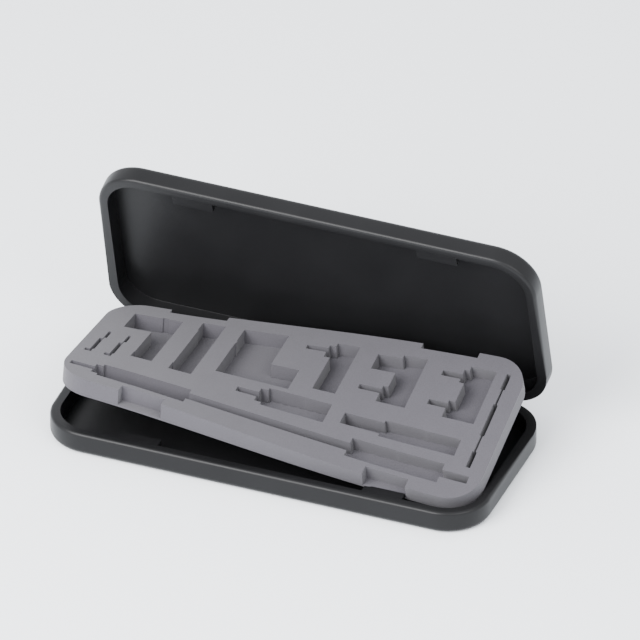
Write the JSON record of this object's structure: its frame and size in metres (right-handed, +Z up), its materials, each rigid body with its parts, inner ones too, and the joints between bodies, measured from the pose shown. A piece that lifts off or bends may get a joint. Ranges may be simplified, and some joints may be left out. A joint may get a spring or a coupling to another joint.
{
  "type": "cased needle tool set",
  "caption": "Flat rounded hinged case, standing open, with a foam insert that has pen-shaped pockets for needle tools, sprung out of the tray and twisted.",
  "frame": {"origin": "middle of the base underside", "axes": "+X along the case, +Y towards the hinges, +Z up"},
  "size_m": [0.21, 0.1035, 0.1043],
  "materials": {
    "case_plastic": "fine satin texture, black",
    "foam": "closed-cell foam with a soft matt skin, warm mid grey",
    "backing": "thin closed-cell foam sheet, matt grey",
    "magnet": "nickel-plated bar magnet",
    "pin": "drawn steel wire pin"
  },
  "bodies": {
    "base": {"base_shell": "case_plastic", "base_magnet_left": "magnet", "base_magnet_right": "magnet", "hinge_pin_left": "pin", "hinge_pin_right": "pin"},
    "lid": {"lid_shell": "case_plastic", "lid_magnet_left": "magnet", "lid_magnet_right": "magnet"},
    "insert_right": {"foam_right": "foam", "backing_right": "backing"},
    "insert_left": {"foam_left": "foam", "backing_left": "backing"}
  },
  "joints": [
    {"name": "lid_hinge", "type": "hinge", "parent": "base", "child": "lid", "pos_m": [0, 0.0472, 0.01115], "axis": [-1, 0, 0], "range_deg": [-75.7, 14.3]},
    {"name": "insert_seat", "type": "hinge", "parent": "base", "child": "insert_right", "pos_m": [0, -0.0514, 0.0177], "axis": [0.9993, 0.0366, 0], "range_deg": [-20.3, 3.9]},
    {"name": "insert_twist", "type": "hinge", "parent": "insert_right", "child": "insert_left", "pos_m": [-0.00003, 0.00095, 0.02427], "axis": [0.9999, 0.0023, -0.0127], "range_deg": [-5.9, 30.8]}
  ],
  "couplings": [
    {"joint": "insert_seat", "follows": "lid_hinge", "ratio": 0.26684},
    {"joint": "insert_twist", "follows": "lid_hinge", "ratio": -0.40555}
  ]
}
